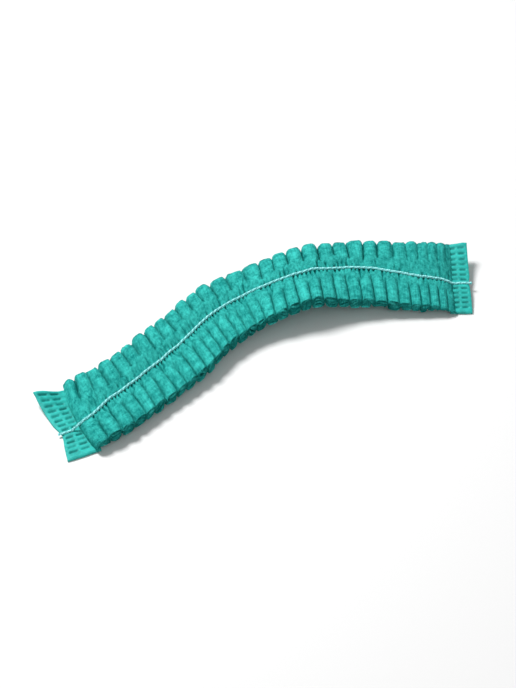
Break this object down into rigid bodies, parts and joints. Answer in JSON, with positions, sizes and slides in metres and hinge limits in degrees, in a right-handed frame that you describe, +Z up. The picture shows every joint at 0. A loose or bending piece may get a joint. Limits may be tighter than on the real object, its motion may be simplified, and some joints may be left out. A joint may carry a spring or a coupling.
{
  "type": "disposable bouffant cap folded into a strip",
  "caption": "Single-use non-woven hair cap, packed flat: a lengthwise pleated web welded at both ends and gathered into ribs by an elastic along each outer pleat",
  "frame": {"origin": "under the middle of the cap's box, on the surface that it lies on", "axes": "+Z up, +X along the length that the strip covers, from the left weld towards the right weld, +Y across it"},
  "size_m": [0.1965, 0.1392, 0.0156],
  "materials": {
    "non_woven_fabric": "matte thin non-woven, point bonded, slightly translucent",
    "welded_fabric": "fused and embossed, faint satin",
    "elastic_thread": "matte twisted thread"
  },
  "bodies": {
    "root": {"pleated_web": "non_woven_fabric", "left_end_weld": "welded_fabric", "right_end_weld": "welded_fabric", "upper_elastic": "elastic_thread", "lower_elastic": "elastic_thread"}
  },
  "joints": []
}
